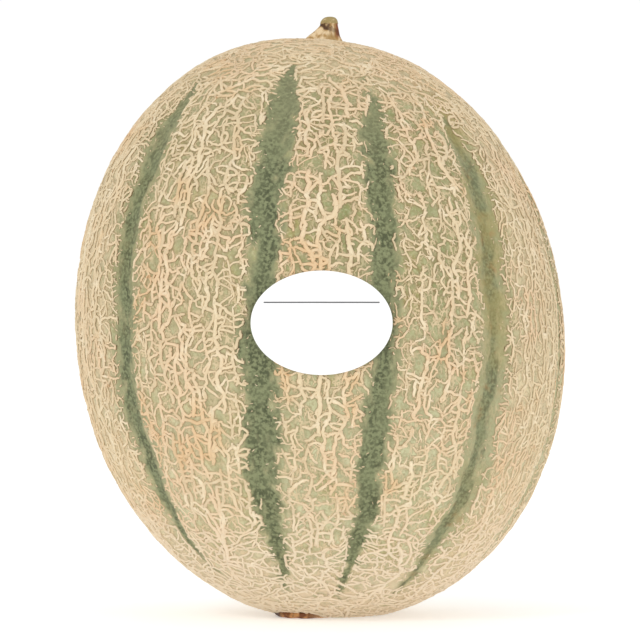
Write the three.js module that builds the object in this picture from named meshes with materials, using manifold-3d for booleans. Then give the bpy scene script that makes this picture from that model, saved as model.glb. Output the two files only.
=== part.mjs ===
// A whole cantaloupe melon, standing on its blossom end. Millimetres, +Z up, the side with the label facing -Y.
// The fruit is one solid: a lopsided, slightly flattened round body with ten shallow grooves (sutures) that run
// from end to end, and between them a raised cork net, drawn larger than life as ridges around rounded cells.
// Set into it are the cut stub of its stem, the corky scar of its flower and a blank oval paper label.
import * as THREE from "three";
import { ConvexHull } from "three/addons/math/ConvexHull.js";
import { mergeVertices } from "three/addons/utils/BufferGeometryUtils.js";
import Module from "manifold-3d";

const wasm = await Module();
wasm.setup();

// The body
const EQUATOR_RADIUS = 73;
const STEM_HALF = 89.3; // from the widest level up to the stem end
const BLOSSOM_HALF = 85.2; // from the widest level down to the blossom end, before the flat spot is cut
const REST_CUT = 1.5; // what the flat spot takes off the blossom end
const EQUATOR_HEIGHT = BLOSSOM_HALF - REST_CUT;
const SHAPE_POWER = 2.05; // 2 is an ellipsoid, more is squarer shouldered
const LEAN = -0.0436; // sideways shift for each millimetre above the widest level
const STEM_TO_RIGHT = THREE.MathUtils.degToRad(4.2); // the stem and the blossom scar don't sit on the crown
const STEM_TO_BACK = THREE.MathUtils.degToRad(3.2);

// The grooves, by their compass angle from the front towards the right
const GROOVE_ANGLES = [-51.4, -13.6, 14.5, 43.5, 79, 115, 152, 190, 229, 270].map(THREE.MathUtils.degToRad);
const GROOVE_DEPTH = 1.3;
const GROOVE_HALF_WIDTH = 5;
const GROOVE_FROM = THREE.MathUtils.degToRad(22); // angle from either end where a groove begins,
const GROOVE_FULL = THREE.MathUtils.degToRad(38); // and where it is at its full depth

// The net
const CELL_ROWS = 19;
const CELL_WIDTH = 9.3;
const NET_CREST = 1; // over the plain skin
const CELL_FLOOR = -0.4; // beside the ridges
const NET_FOOT = 1.7; // from a ridge's crest to the floor of the cell beside it
const NET_MARGIN = 2.5; // the net fades out over this distance beside a groove
const CELL_MIDDLE = -0.1;
const SEED_JITTER = 0.24; // of a cell, either way
const JITTER_SEED = 29;

// The hollow of the crown, around the stem
const CROWN_DEPTH = 1.5;
const CROWN_RADIUS = 15;

// What is set into the fruit keeps this gap to it
const SEAT_GAP = 0.3;

// The stem stub: each ring is a height over the crown, a radius and a shift to the right
const STEM_RINGS = [
  [-1.6, 6.4, -2.1],
  [0.5, 6.9, -2.2],
  [1.6, 5.9, -1.9],
  [2.7, 5, -1.5],
  [3.7, 4.2, -1],
  [4.8, 3.5, -0.4],
  [5.9, 3, 0],
  [7, 2.8, 0.1],
  [8, 2.4, 0.3],
  [8.7, 1.7, 0.4],
];
const STEM_WIDEST = 1; // the ring that its socket in the fruit follows
const STEM_SOCKET_TOP = 4;
const STEM_SIDES = 30;
const STEM_FLUTES = 5;
const STEM_FLUTE_DEPTH = 0.13; // of the radius, at the foot

// The blossom scar, an uneven corky disc under the fruit, which hangs out towards the front
const SCAR_RADIUS = 9.4;
const SCAR_TO_RIGHT = -1.7; // from the blossom end of the grooves
const SCAR_TO_FRONT = 5.2;
const SCAR_THICKNESS = 2.4;
const SCAR_SIDES = 28;
const SCAR_RAGGED = 0.06; // of the radius

// The label
const LABEL_HALF_WIDTH = 20;
const LABEL_HALF_HEIGHT = 14.8;
const LABEL_HEIGHT = 87.4; // of its centre above the surface the melon stands on
const LABEL_UNDERSIDE = 0.5; // above the rind between the ridges
const LABEL_THICKNESS = 0.6;
const LABEL_SIDES = 40;
const LABEL_RINGS = 4;

const STEM_TURN = new THREE.Quaternion().setFromUnitVectors(
  new THREE.Vector3(0, 0, 1),
  new THREE.Vector3(Math.tan(STEM_TO_RIGHT), Math.tan(STEM_TO_BACK), 1).normalize(),
);

// A seeded random number from 0 to 1.
function randomFrom(seed) {
  let state = seed;
  return () => {
    state = (state + 0x6d2b79f5) | 0;
    let t = Math.imul(state ^ (state >>> 15), 1 | state);
    t = (t + Math.imul(t ^ (t >>> 7), 61 | t)) ^ t;
    return ((t ^ (t >>> 14)) >>> 0) / 2 ** 32;
  };
}

// The direction at an angle from the stem and a compass angle, on a sphere whose +Z is the stem.
function directionAt(fromStem, compass) {
  return new THREE.Vector3(
    Math.sin(fromStem) * Math.sin(compass),
    -Math.sin(fromStem) * Math.cos(compass),
    Math.cos(fromStem),
  );
}

// How strongly the grooves show at an angle from the stem: 0 near both ends and 1 along the sides.
function grooveStrength(fromStem) {
  const fromEnd = Math.min(fromStem, Math.PI - fromStem);
  return THREE.MathUtils.smoothstep(fromEnd, GROOVE_FROM, GROOVE_FULL);
}

// The distance over the skin from a direction to the middle of the nearest groove.
function grooveDistance(direction) {
  const compass = Math.atan2(direction.x, -direction.y);
  const around = Math.hypot(direction.x, direction.y) * EQUATOR_RADIUS;
  const apart = GROOVE_ANGLES.map((angle) => {
    const turn = THREE.MathUtils.euclideanModulo(compass - angle + Math.PI, 2 * Math.PI) - Math.PI;
    return Math.abs(turn);
  });
  return Math.min(...apart) * around;
}

// The grooves and the hollow of the crown, as a height over the plain body.
function skinRelief(direction) {
  const fromStem = Math.acos(THREE.MathUtils.clamp(direction.z, -1, 1));
  const fromGroove = grooveDistance(direction) / GROOVE_HALF_WIDTH;
  const fromCrown = (Math.sin(fromStem) * EQUATOR_RADIUS) / CROWN_RADIUS;
  const crown = direction.z > 0 ? Math.exp(-(fromCrown ** 2)) : 0;
  return -GROOVE_DEPTH * grooveStrength(fromStem) * Math.exp(-(fromGroove ** 2)) - CROWN_DEPTH * crown;
}

// The point of the skin in a direction from the melon's middle, raised along the skin's normal.
function skinPoint(direction, raise = 0, relief = skinRelief(direction)) {
  const turned = direction.clone().applyQuaternion(STEM_TURN);
  const half = turned.z > 0 ? STEM_HALF : BLOSSOM_HALF;
  const across = Math.hypot(turned.x, turned.y);
  const share = (across / EQUATOR_RADIUS) ** SHAPE_POWER + (Math.abs(turned.z) / half) ** SHAPE_POWER;
  const point = turned.multiplyScalar(share ** (-1 / SHAPE_POWER));
  const outwards = Math.hypot(point.x, point.y) ** (SHAPE_POWER - 2) / EQUATOR_RADIUS ** SHAPE_POWER;
  const upwards = Math.abs(point.z) ** (SHAPE_POWER - 2) / half ** SHAPE_POWER;
  const normal = new THREE.Vector3(point.x * outwards, point.y * outwards, point.z * upwards).normalize();
  point.addScaledVector(normal, relief + raise);
  point.x += LEAN * point.z;
  point.z += EQUATOR_HEIGHT;
  return point;
}

// The direction of the skin seen from the front at a place (x to the right, z up).
function frontDirection(x, z) {
  const level = z - EQUATOR_HEIGHT;
  const half = level > 0 ? STEM_HALF : BLOSSOM_HALF;
  const right = x - LEAN * level;
  const radius = EQUATOR_RADIUS * (1 - (Math.abs(level) / half) ** SHAPE_POWER) ** (1 / SHAPE_POWER);
  const front = -Math.sqrt(radius ** 2 - right ** 2);
  return new THREE.Vector3(right, front, level).normalize().applyQuaternion(STEM_TURN.clone().invert());
}

function geometryOf(points, triangles) {
  const geometry = new THREE.BufferGeometry();
  geometry.setAttribute("position", new THREE.Float32BufferAttribute(points.flatMap((p) => [p.x, p.y, p.z]), 3));
  geometry.setIndex(triangles.flat());
  return geometry;
}

function solidOf(geometry) {
  const plain = geometry.clone();
  plain.deleteAttribute("normal");
  plain.deleteAttribute("uv");
  const merged = mergeVertices(plain, 1e-4);
  return new wasm.Manifold(
    new wasm.Mesh({
      numProp: 3,
      vertProperties: new Float32Array(merged.attributes.position.array),
      triVerts: new Uint32Array(merged.index.array),
    }),
  );
}

function geometryFrom(solid) {
  const mesh = solid.getMesh();
  const geometry = new THREE.BufferGeometry();
  geometry.setAttribute("position", new THREE.BufferAttribute(new Float32Array(mesh.vertProperties), 3));
  geometry.setIndex(new THREE.BufferAttribute(new Uint32Array(mesh.triVerts), 1));
  return geometry;
}

// Closed rings of points, lowest first, become a closed solid with a fan over each end ring.
function loft(rings, lowCentre, highCentre) {
  const sides = rings[0].length;
  const points = [...rings.flat(), lowCentre, highCentre];
  const low = points.length - 2;
  const high = points.length - 1;
  const top = (rings.length - 1) * sides;
  const triangles = [];
  for (let side = 0; side < sides; side++) {
    const next = (side + 1) % sides;
    triangles.push([low, next, side], [high, top + side, top + next]);
    for (let ring = 0; ring < rings.length - 1; ring++) {
      const here = ring * sides;
      const above = here + sides;
      triangles.push([here + side, here + next, above + next], [here + side, above + next, above + side]);
    }
  }
  return geometryOf(points, triangles);
}

// One seed for each cell of the net, row by row from the stem: along the sides each groove has a seed of its own
// and the rib between two grooves is filled with seeds a cell's width apart. Near the ends a row is one even ring.
function cellSeeds() {
  const random = randomFrom(JITTER_SEED);
  const jitter = () => (2 * random() - 1) * SEED_JITTER;
  const rowStep = Math.PI / CELL_ROWS;
  const seeds = [];
  for (let row = 0; row < CELL_ROWS; row++) {
    const fromStem = (row + 0.5) * rowStep;
    const around = EQUATOR_RADIUS * Math.sin(fromStem);
    const addSeed = (compass, cell) =>
      seeds.push(directionAt(fromStem + jitter() * rowStep, compass + jitter() * cell));
    if (grooveStrength(fromStem) < 0.2) {
      const count = Math.max(5, Math.round((2 * Math.PI * around) / CELL_WIDTH));
      const cell = (2 * Math.PI) / count;
      for (let i = 0; i < count; i++) addSeed(i * cell, cell);
      continue;
    }
    GROOVE_ANGLES.forEach((groove, rib) => {
      const nextGroove = GROOVE_ANGLES[rib + 1] ?? GROOVE_ANGLES[0] + 2 * Math.PI;
      const edge = GROOVE_HALF_WIDTH / around;
      const width = nextGroove - groove - 2 * edge;
      const count = Math.max(1, Math.round((width * around) / CELL_WIDTH));
      const cell = width / count;
      const shift = row % 2 ? 0.25 : -0.25;
      addSeed(groove, 0);
      for (let i = 0; i < count; i++) addSeed(groove + edge + (i + 0.5 + shift) * cell, cell);
    });
  }
  return seeds;
}

// How strongly the net shows in a direction: not in a groove, and full on the ribs and at both ends.
function netStrength(direction) {
  const fromStem = Math.acos(THREE.MathUtils.clamp(direction.z, -1, 1));
  const beside = THREE.MathUtils.smoothstep(
    grooveDistance(direction),
    GROOVE_HALF_WIDTH,
    GROOVE_HALF_WIDTH + NET_MARGIN,
  );
  return 1 - grooveStrength(fromStem) * (1 - beside);
}

// The netted body. The seeds' hull links each seed to its neighbours, and the middles of the hull's triangles are
// the corners of the cells: each cell has its corners on the ridges' crests, a foot ring inside them and a middle.
function nettedBody() {
  const seeds = cellSeeds();
  const hull = new ConvexHull().setFromPoints(seeds);
  const indexOf = new Map(seeds.map((seed, i) => [seed, i]));
  const corners = [];
  const cornersOfCell = seeds.map(() => []);
  for (const face of hull.faces) {
    const around = [face.edge.vertex.point, face.edge.next.vertex.point, face.edge.prev.vertex.point];
    const middle = around.reduce((sum, p) => sum.add(p), new THREE.Vector3()).normalize();
    around.forEach((seed) => cornersOfCell[indexOf.get(seed)].push(corners.length));
    corners.push(middle);
  }
  const points = corners.map((corner) => skinPoint(corner, NET_CREST * netStrength(corner)));
  const triangles = [];
  seeds.forEach((seed, cell) => {
    const side = new THREE.Vector3(0, 0, 1).cross(seed).normalize();
    const up = seed.clone().cross(side);
    const turnOf = (corner) => Math.atan2(corners[corner].dot(up), corners[corner].dot(side));
    const ring = cornersOfCell[cell].sort((a, b) => turnOf(a) - turnOf(b));
    const centre = ring.reduce((sum, c) => sum.add(corners[c]), new THREE.Vector3()).normalize();
    const middle = points.push(skinPoint(centre, CELL_MIDDLE * netStrength(centre))) - 1;
    const feet = ring.map((corner) => {
      const inset = NET_FOOT / (corners[corner].angleTo(centre) * EQUATOR_RADIUS);
      const foot = corners[corner].clone().lerp(centre, Math.min(inset, 0.6)).normalize();
      return points.push(skinPoint(foot, CELL_FLOOR * netStrength(foot))) - 1;
    });
    ring.forEach((corner, i) => {
      const next = (i + 1) % ring.length;
      triangles.push([corner, ring[next], feet[next]], [corner, feet[next], feet[i]]);
      triangles.push([feet[i], feet[next], middle]);
    });
  });
  return geometryOf(points, triangles);
}

function middleOf(ring) {
  return ring.reduce((sum, p) => sum.add(p), new THREE.Vector3()).divideScalar(ring.length);
}

// One ring of the stem at a height over the crown. Its flutes fade out towards the top.
function stemRing(level, height = STEM_RINGS[level][0], gap = 0) {
  const foot = skinPoint(directionAt(0, 0));
  const [, radius, right] = STEM_RINGS[level];
  const flute = STEM_FLUTE_DEPTH * (1 - level / STEM_RINGS.length);
  return Array.from({ length: STEM_SIDES }, (_, side) => {
    const turn = (2 * Math.PI * side) / STEM_SIDES;
    const reach = radius * (1 + flute * Math.cos(STEM_FLUTES * turn)) + gap;
    return new THREE.Vector3(right + reach * Math.cos(turn), reach * Math.sin(turn), height).add(foot);
  });
}

function stemBody() {
  const rings = STEM_RINGS.map((_, level) => stemRing(level));
  return loft(rings, middleOf(rings[0]), middleOf(rings.at(-1)));
}

// The room that the stem sits in, with straight sides.
function stemSocket() {
  const floor = stemRing(STEM_WIDEST, STEM_RINGS[0][0] - SEAT_GAP, SEAT_GAP);
  const mouth = stemRing(STEM_WIDEST, STEM_SOCKET_TOP, SEAT_GAP);
  return loft([floor, mouth], middleOf(floor), middleOf(mouth));
}

// One ring of the blossom scar's ragged outline at a height over the surface the melon stands on.
function scarRing(height, share = 1, gap = 0) {
  const middle = skinPoint(directionAt(Math.PI, 0)).add(new THREE.Vector3(SCAR_TO_RIGHT, -SCAR_TO_FRONT, 0));
  return Array.from({ length: SCAR_SIDES }, (_, side) => {
    const turn = (2 * Math.PI * side) / SCAR_SIDES;
    const ragged = 1 + SCAR_RAGGED * (Math.sin(3 * turn + 1) + 0.6 * Math.sin(7 * turn));
    const reach = SCAR_RADIUS * share * ragged + gap;
    return new THREE.Vector3(middle.x + reach * Math.cos(turn), middle.y + reach * Math.sin(turn), height);
  });
}

function scarBody() {
  const rings = [scarRing(0, 0.95), scarRing(0.5 * SCAR_THICKNESS), scarRing(SCAR_THICKNESS, 0.9)];
  return loft(rings, middleOf(rings[0]), middleOf(rings.at(-1)));
}

// The recess that the scar sits in, open below.
function scarRecess() {
  const mouth = scarRing(-1, 1, SEAT_GAP);
  const ceiling = scarRing(SCAR_THICKNESS + SEAT_GAP, 1, SEAT_GAP);
  return loft([mouth, ceiling], middleOf(mouth), middleOf(ceiling));
}

// An oval shell that follows the plain skin between two heights over it, as wide and high as the label and a gap.
function labelShell(underside, outside, gap) {
  const onSkin = (share, turn, raise) => {
    const right = share * (LABEL_HALF_WIDTH + gap) * Math.cos(turn);
    const up = share * (LABEL_HALF_HEIGHT + gap) * Math.sin(turn);
    return skinPoint(frontDirection(right, LABEL_HEIGHT + up), raise, 0);
  };
  const ringAt = (share, raise) =>
    Array.from({ length: LABEL_SIDES }, (_, side) => onSkin(share, (2 * Math.PI * side) / LABEL_SIDES, raise));
  const shares = Array.from({ length: LABEL_RINGS }, (_, ring) => (ring + 1) / LABEL_RINGS);
  const rings = [
    ...shares.map((share) => ringAt(share, underside)),
    ...shares.toReversed().map((share) => ringAt(share, outside)),
  ];
  return loft(rings, onSkin(0, 0, underside), onSkin(0, 0, outside));
}

function labelBody() {
  return labelShell(LABEL_UNDERSIDE, LABEL_UNDERSIDE + LABEL_THICKNESS, 0);
}

// The room that the label takes out of the ridges under and around it.
function labelSeat() {
  return labelShell(LABEL_UNDERSIDE - SEAT_GAP, LABEL_UNDERSIDE + 3 * NET_CREST, SEAT_GAP);
}

function fruitBody() {
  const below = new THREE.BoxGeometry(200, 200, 20).translate(0, 0, -10);
  return [below, stemSocket(), scarRecess(), labelSeat()].reduce(
    (fruit, room) => fruit.subtract(solidOf(room)),
    solidOf(nettedBody()),
  );
}

const rind = new THREE.MeshStandardMaterial({ color: 0xcdb993, roughness: 0.75, metalness: 0 });
const dryStem = new THREE.MeshStandardMaterial({ color: 0xb7976c, roughness: 0.85, metalness: 0 });
const brownCork = new THREE.MeshStandardMaterial({ color: 0x8a5a30, roughness: 0.9, metalness: 0 });
const whitePaper = new THREE.MeshStandardMaterial({ color: 0xfafafa, roughness: 0.5, metalness: 0 });

function named(name, geometry, material) {
  const mesh = new THREE.Mesh(geometry, material);
  mesh.name = name;
  return mesh;
}

const melon = new THREE.Group();
melon.add(
  named("fruit", geometryFrom(fruitBody()), rind),
  named("stem_stub", stemBody(), dryStem),
  named("blossom_scar", scarBody(), brownCork),
  named("label", labelBody(), whitePaper),
);

export default melon;
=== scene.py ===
# %% [markdown]
# # A cantaloupe melon
# The real fruit is one lopsided, nearly round body. Ten shallow grooves run from the stem to the blossom
# end, and between them the rind is covered with a raised net of cream cork. Four separate things are
# modelled: the fruit, the dry stub of its stem, the brown scar of its flower and an oval paper label.
#
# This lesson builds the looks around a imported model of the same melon. That model is in metres and never
# changes, so every piece below is made at its true size and place. The arithmetic is easier to read in
# millimetres, so lengths are in millimetres until a mesh is made.

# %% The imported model
import math
import random

import bmesh
import bpy
import numpy as np
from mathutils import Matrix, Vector, kdtree, noise


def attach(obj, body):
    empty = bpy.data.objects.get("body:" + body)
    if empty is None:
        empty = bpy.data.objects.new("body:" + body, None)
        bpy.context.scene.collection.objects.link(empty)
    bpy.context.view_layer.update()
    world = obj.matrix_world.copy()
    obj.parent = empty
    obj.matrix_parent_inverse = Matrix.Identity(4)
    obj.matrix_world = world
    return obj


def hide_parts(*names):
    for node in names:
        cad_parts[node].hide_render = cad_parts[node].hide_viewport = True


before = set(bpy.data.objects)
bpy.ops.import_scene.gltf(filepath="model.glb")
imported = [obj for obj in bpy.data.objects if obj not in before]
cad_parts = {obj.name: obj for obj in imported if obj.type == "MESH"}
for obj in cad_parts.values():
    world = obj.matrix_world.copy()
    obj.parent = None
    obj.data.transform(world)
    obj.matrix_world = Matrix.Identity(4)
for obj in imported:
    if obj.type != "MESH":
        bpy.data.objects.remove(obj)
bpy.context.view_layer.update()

MM = 0.001

# %% [markdown]
# ## The camera
# The photograph was taken from the front, level with the middle of the melon, and from so far away that
# the outline is hardly drawn in by nearness. A long lens 1.2 m away, which takes in 192 mm across, gives
# that view.

# %% The camera
CAMERA_AWAY = 1.2
CAMERA_HEIGHT = 0.0882
FRAME_WIDTH = 0.192
SENSOR_WIDTH = 36


def add_camera():
    camera = bpy.data.cameras.new("camera")
    camera.sensor_width = SENSOR_WIDTH
    camera.lens = camera.sensor_width * CAMERA_AWAY / FRAME_WIDTH
    holder = bpy.data.objects.new("camera", camera)
    holder.location = (0, -CAMERA_AWAY, CAMERA_HEIGHT)
    holder.rotation_euler = (math.radians(90), 0, 0)
    bpy.context.scene.collection.objects.link(holder)
    bpy.context.scene.camera = holder
    return camera.lens


print("lens", round(add_camera(), 1), "mm")

# %% [markdown]
# ## The shape of the skin
# A melon could be sculpted from a sphere, but thousands of cords have to lie on its skin, so it is worth
# having the skin as a formula that can be asked anywhere. Take a direction out of the middle. How far
# away the skin is follows from the half-widths of the body, and a power a little over 2 makes the
# shoulders fuller than an ellipsoid's. The body leans to one side and the stem is not quite at the crown,
# so a direction is counted in the melon's own tipped axes, with the stem up. Below, such a direction is
# called an own direction.

# %% The skin formula
EQUATOR_RADIUS = 73.0
STEM_HALF = 89.3
BLOSSOM_HALF = 85.2
EQUATOR_HEIGHT = BLOSSOM_HALF - 1.5
SHAPE_POWER = 2.05
LEAN = -0.0436  # mm to the right for each mm up
STEM_TO_RIGHT = math.tan(math.radians(4.2))
STEM_TO_BACK = math.tan(math.radians(3.2))


def tip_matrix():
    """The turn that takes an upright axis to the line from the blossom end to the stem."""
    x, y, z = Vector((STEM_TO_RIGHT, STEM_TO_BACK, 1)).normalized()
    swing = np.array([[0, 0, x], [0, 0, y], [-x, -y, 0]])
    return np.eye(3) + swing + swing @ swing / (1 + z)


TIP = tip_matrix()


def body_radius(tipped):
    """Distance from the melon's middle to its skin, for directions in upright axes."""
    across = np.hypot(tipped[:, 0], tipped[:, 1]) / EQUATOR_RADIUS
    half = np.where(tipped[:, 2] > 0, STEM_HALF, BLOSSOM_HALF)
    return (across**SHAPE_POWER + (np.abs(tipped[:, 2]) / half) ** SHAPE_POWER) ** (-1 / SHAPE_POWER)


def skin(own, lift):
    """Points at a height over the skin, and the skin's normals, for an array of own directions."""
    tipped = own @ TIP.T
    points = tipped * body_radius(tipped)[:, None]
    half = np.where(tipped[:, 2] > 0, STEM_HALF, BLOSSOM_HALF)
    across = np.maximum(np.hypot(points[:, 0], points[:, 1]), 1e-6)
    level = np.maximum(np.abs(points[:, 2]), 1e-6)
    outwards = across ** (SHAPE_POWER - 2) / EQUATOR_RADIUS**SHAPE_POWER
    upwards = level ** (SHAPE_POWER - 2) / half**SHAPE_POWER
    normals = points * np.stack([outwards, outwards, upwards], axis=1)
    normals /= np.linalg.norm(normals, axis=1)[:, None]
    points = points + normals * np.broadcast_to(lift, len(points))[:, None]
    points[:, 0] += LEAN * points[:, 2]
    points[:, 2] += EQUATOR_HEIGHT
    return points, normals


def direction(from_stem, compass):
    """The own direction at an angle from the stem and a compass angle from the front towards the right."""
    flat = math.sin(from_stem)
    return flat * math.sin(compass), -flat * math.cos(compass), math.cos(from_stem)


STEM_SUNK = 1.5
stem_foot = skin(np.array([direction(0, 0)]), -STEM_SUNK)[0][0]
print("the stem stands at", stem_foot.round(1), "mm")

# %% [markdown]
# ## The grooves
# The grooves are where the seams between the flower's parts were. Each has its own width, begins and ends
# at its own place, wanders a little, and narrows slowly towards the blossom end. They are dents of little
# more than a millimetre. What the eye sees is that the net stops at their edges and that the rind in them
# is dark. One measure, the distance to the middle of the nearest groove, is used three times: to dent the
# skin, to colour it and to steer the net.

# %% The grooves
GROOVE_DEPTH = 1.3
GROOVE_DENT_HALF = 5.0
FULL_DENT_HALF = 2.4  # a groove of this half-width or more has its full depth
CROWN_DEPTH = 1.5
CROWN_RADIUS = 15.0
FADE = 0.45  # radians over which a groove widens from its beginning
NARROWING = 0.9  # and over which it narrows to its end
# compass angle, half-width in mm, the angles from the stem where it begins and ends, darkness and warmth
GROOVES = [
    (-51.4, 4.6, 27, 165, 0.78, 0.15),
    (-13.6, 4.8, 20, 168, 0.95, 0.0),
    (14.5, 4.1, 26, 170, 0.92, 0.05),
    (43.5, 5.4, 31, 167, 0.66, 1.0),
    (79, 3.2, 36, 160, 0.3, 0.3),
    (115, 4.6, 24, 167, 0.75, 0.3),
    (152, 4.2, 29, 163, 0.85, 0.0),
    (190, 4.8, 25, 166, 0.75, 0.6),
    (229, 4.0, 27, 163, 0.85, 0.1),
    (270, 4.4, 24, 165, 0.65, 0.3),
]
GROOVES = [(math.radians(g[0]), g[1], math.radians(g[2]), math.radians(g[3]), *g[4:]) for g in GROOVES]
# a groove's wandering is two waves: mm to each side, waves along it, and shift from groove to groove
WANDERINGS = [(0.6, 11, 2.1), (0.4, 23, 1.0)]
SWELLING = 0.028
SWELLINGS = 14
SWELLING_FINENESS = 11
SWELLING_WAVES = np.random.default_rng(3).normal(size=(SWELLINGS, 3)) * SWELLING_FINENESS
SWELLING_STARTS = np.random.default_rng(4).uniform(0, 6.28, SWELLINGS)


def smooth(value, low, high):
    """0 below low and 1 above high, for an array."""
    share = np.clip((value - low) / (high - low), 0, 1)
    return share * share * (3 - 2 * share)


def wander(from_stem, number):
    return sum(size * np.sin(from_stem * waves + number * shift) for size, waves, shift in WANDERINGS)


def groove_field(own):
    """Distance to the nearest groove's middle, its half-width there and its number."""
    compass = np.arctan2(own[:, 0], -own[:, 1])
    from_stem = np.arccos(np.clip(own[:, 2], -1, 1))
    around = np.hypot(own[:, 0], own[:, 1]) * EQUATOR_RADIUS
    distance = np.full(len(own), 1e3)
    width = np.zeros(len(own))
    nearest = np.zeros(len(own), int)
    for number, (angle, half, start, end, _, _) in enumerate(GROOVES):
        turn = (compass - angle + np.pi) % (2 * np.pi) - np.pi
        apart = np.abs(turn * around + wander(from_stem, number))
        shown = smooth(from_stem, start, start + FADE) * (1 - smooth(from_stem, end - NARROWING, end))
        nearer = apart < distance
        distance = np.where(nearer, apart, distance)
        width = np.where(nearer, half * shown, width)
        nearest = np.where(nearer, number, nearest)
    return distance, width, nearest


def skin_relief(own):
    """The dents of the grooves and of the hollow round the stem, and broad uneven swellings."""
    distance, width, _ = groove_field(own)
    profile = np.exp(-((distance / GROOVE_DENT_HALF) ** 2))
    dent = GROOVE_DEPTH * np.clip(width / FULL_DENT_HALF, 0, 1) * profile
    from_crown = np.hypot(own[:, 0], own[:, 1]) * EQUATOR_RADIUS / CROWN_RADIUS
    crown = np.where(own[:, 2] > 0, CROWN_DEPTH * np.exp(-(from_crown**2)), 0)
    swellings = SWELLING * np.sin(own @ SWELLING_WAVES.T + SWELLING_STARTS).sum(axis=1)
    return swellings - dent - crown


print(len(GROOVES), "grooves, the widest", 2 * max(g[1] for g in GROOVES), "mm across")

# %% [markdown]
# ## How the net grows
# The cork net is healed cracks. As the fruit swells, its skin splits, first in long cracks from end to
# end, then in short ones that run across from crack to crack, and cork fills them. A cell pattern would
# give the holes of a net but none of its loose ends, so the net here is grown: a cord steps over the skin
# a fraction of a millimetre at a time, wavers, and stops when it meets another cord or the edge of a
# groove. Long trunks grow first, rungs branch off them or fill open ground, twigs branch off both, and a
# comb of fine spurs lines each groove. The random draws are seeded, so the same melon grows every time.
#
# To know what is near, every stored point goes into a box of a coarse grid, and only the boxes around a
# cord's tip are searched. A cord takes thousands of single steps, so these helpers use plain numbers,
# which are faster one at a time than arrays.

# %% Finding near cords
STEP = 0.45
BOX = 2.0
MEAN_RADIUS = 80.0
LENGTHWAYS_RADIUS = 82.0
draw = random.Random(7)
cords = []
boxes = {}


def radius_of(x, y, z):
    """Distance from the middle to the plain skin in one own direction."""
    level = TIP[2, 0] * x + TIP[2, 1] * y + TIP[2, 2] * z
    half = STEM_HALF if level > 0 else BLOSSOM_HALF
    across = math.sqrt(max(0.0, 1 - level * level)) / EQUATOR_RADIUS
    return (across**SHAPE_POWER + (abs(level) / half) ** SHAPE_POWER) ** (-1 / SHAPE_POWER)


def spot_of(own):
    """The place on the plain skin in one own direction, in own axes."""
    radius = radius_of(*own)
    return own[0] * radius, own[1] * radius, own[2] * radius


def near_cord(spot, reach, skip=None):
    """The nearest stored cord point within reach: (cord number, point number), or None."""
    spans = [range(int((v - reach) // BOX), int((v + reach) // BOX) + 1) for v in spot]
    best, found = reach * reach, None
    for i in spans[0]:
        for j in spans[1]:
            for k in spans[2]:
                for x, y, z, number, index in boxes.get((i, j, k), ()):
                    if number == skip:
                        continue
                    apart = (x - spot[0]) ** 2 + (y - spot[1]) ** 2 + (z - spot[2]) ** 2
                    if apart < best:
                        best, found = apart, (number, index)
    return found


def keep_cord(points, widths, kind):
    """Stores a cord and all its points, and gives its number."""
    number = len(cords)
    cords.append((points, widths, kind))
    for index, own in enumerate(points):
        spot = spot_of(own)
        boxes.setdefault(tuple(int(v // BOX) for v in spot), []).append((*spot, number, index))
    return number


print("a step of", STEP, "mm, boxes of", BOX, "mm")


# %% Steering
def nearest_groove(x, y, z):
    """Signed distance to the nearest groove's middle, its half-width there and its number."""
    compass = math.atan2(x, -y)
    turns = [(compass - groove[0] + math.pi) % (2 * math.pi) - math.pi for groove in GROOVES]
    number = min(range(len(turns)), key=lambda i: abs(turns[i]))
    half, start, end = GROOVES[number][1:4]
    from_stem = math.acos(max(-1.0, min(1.0, z)))
    shown = ease(from_stem, start, start + FADE) * (1 - ease(from_stem, end - NARROWING, end))
    sideways = sum(size * math.sin(from_stem * waves + number * shift) for size, waves, shift in WANDERINGS)
    return turns[number] * math.hypot(x, y) * EQUATOR_RADIUS + sideways, half * shown, number


def ease(value, low, high):
    """0 below low and 1 above high, for one number."""
    share = min(1.0, max(0.0, (value - low) / (high - low)))
    return share * share * (3 - 2 * share)


def north_east(own):
    """The tangents towards the stem and towards the right."""
    x, y, z = own
    flat = math.hypot(x, y) or 1e-9
    return (-x * z / flat, -y * z / flat, flat), (-y / flat, x / flat, 0.0)


def turned(ahead, aside, angle):
    """A heading turned by an angle from ahead towards aside."""
    return tuple(a * math.cos(angle) + b * math.sin(angle) for a, b in zip(ahead, aside))


def crossed(a, b):
    return a[1] * b[2] - a[2] * b[1], a[2] * b[0] - a[0] * b[2], a[0] * b[1] - a[1] * b[0]


def unit(vector):
    length = math.sqrt(sum(v * v for v in vector)) or 1e-9
    return tuple(v / length for v in vector)


print("straight ahead the nearest groove is", round(abs(nearest_groove(0, -1, 0)[0]), 1), "mm away")

# %% Growing one cord
ENTRY = 0.4  # how far into a groove a cord may run
EDGE_PUSH = 0.55
LEAST_KEEP_OFF = 0.3
HOME_PULL = 0.14
MOST_HOME_PULL = 0.3
LEAVING = 1.2  # a branch looks past its parent over this much of its way


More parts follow.
